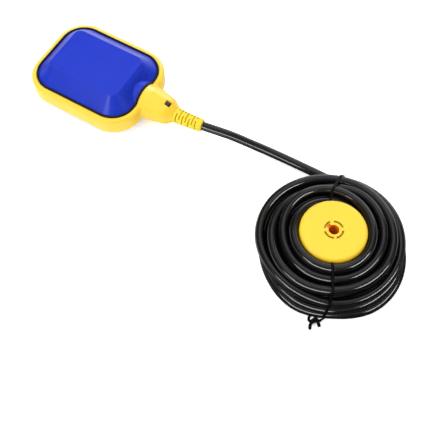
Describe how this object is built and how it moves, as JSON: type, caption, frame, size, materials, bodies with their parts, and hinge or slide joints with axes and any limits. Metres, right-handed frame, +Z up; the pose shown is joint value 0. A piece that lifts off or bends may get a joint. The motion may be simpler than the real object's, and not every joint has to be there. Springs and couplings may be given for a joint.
{
  "type": "cable float level switch",
  "caption": "Cable float switch: flat sealed blue float in a yellow belt, slotted bend relief, black lead coiled round its yellow counterweight; tipping rolls a ball onto a microswitch.",
  "frame": {"origin": "on the floor, at the middle of the float's lower flat panel", "axes": "+X along the neck towards the lead, +Z up"},
  "size_m": [0.3457, 0.1439, 0.04],
  "materials": {
    "blue_shell": "moulded, satin gloss",
    "yellow_body": "moulded, satin",
    "yellow_boot": "soft moulded, satin",
    "yellow_weight": "moulded, satin",
    "black_seal": "matt",
    "black_lead": "smooth extruded jacket, satin gloss",
    "black_tie": "coated wire, satin",
    "ball_steel": "polished",
    "plain_steel": "turned",
    "white_plastic": "moulded",
    "clear_plastic": "moulded",
    "dark_plastic": "moulded",
    "red_plastic": "moulded",
    "resin": "cast",
    "contact_brass": "stamped",
    "bare_copper": "tinned strand ends",
    "sleeve_plastic": "moulded",
    "core_black": "extruded",
    "core_brown": "extruded",
    "core_blue": "extruded"
  },
  "bodies": {
    "float_case": {"ball_cover": "clear_plastic", "belt_frame": "yellow_body", "bend_relief": "yellow_boot", "cable_coil": "black_lead", "cable_entry": "black_lead", "cable_gland": "black_seal", "cable_run": "black_lead", "clamp_lower": "white_plastic", "clamp_screws": "plain_steel", "clamp_upper": "white_plastic", "closed_terminal": "contact_brass", "common_terminal": "contact_brass", "cover_screw": "plain_steel", "lead_closed": "core_blue", "lead_common": "core_black", "lead_open": "core_brown", "lead_tips": "bare_copper", "lever_pin": "plain_steel", "lower_seal": "black_seal", "lower_shell": "blue_shell", "neck_sleeve": "blue_shell", "open_terminal": "contact_brass", "potting_plug": "resin", "switch_base": "dark_plastic", "switch_carrier": "white_plastic", "switch_cover": "dark_plastic", "switch_screws": "plain_steel", "terminal_sleeves": "sleeve_plastic", "tie_back": "black_tie", "tie_front": "black_tie", "upper_seal": "black_seal", "upper_shell": "blue_shell", "weight_base": "yellow_weight", "weight_cup": "yellow_weight", "weight_slug": "plain_steel", "wire_closed": "core_blue", "wire_common": "core_black", "wire_open": "core_brown"},
    "ball": {"steel_ball": "ball_steel"},
    "lever": {"actuator_lever": "white_plastic"},
    "plunger": {"switch_plunger": "red_plastic"},
    "blade": {"contact_blade": "contact_brass"}
  },
  "joints": [
    {"name": "ball_roll", "type": "slide", "parent": "float_case", "child": "ball", "axis": [1, 0, 0], "range_m": [0, 0.024]},
    {"name": "lever_turn", "type": "hinge", "parent": "float_case", "child": "lever", "pos_m": [-0.014, -0.0022, 0.0133], "axis": [0, 0, -1], "range_deg": [0, 7.01], "stiffness_Nm_per_rad": 0.02},
    {"name": "plunger_press", "type": "slide", "parent": "float_case", "child": "plunger", "axis": [0, -1, 0], "range_m": [0, 0.000822]},
    {"name": "blade_swing", "type": "hinge", "parent": "float_case", "child": "blade", "pos_m": [-0.01325, -0.0084, 0.0133], "axis": [0, 0, -1], "range_deg": [0, 7.81]}
  ],
  "couplings": [
    {"joint": "lever_turn", "follows": "ball_roll", "rad_per_m": 5.0905},
    {"joint": "plunger_press", "follows": "ball_roll", "ratio": 0.034167},
    {"joint": "blade_swing", "follows": "ball_roll", "rad_per_m": 5.6723}
  ]
}
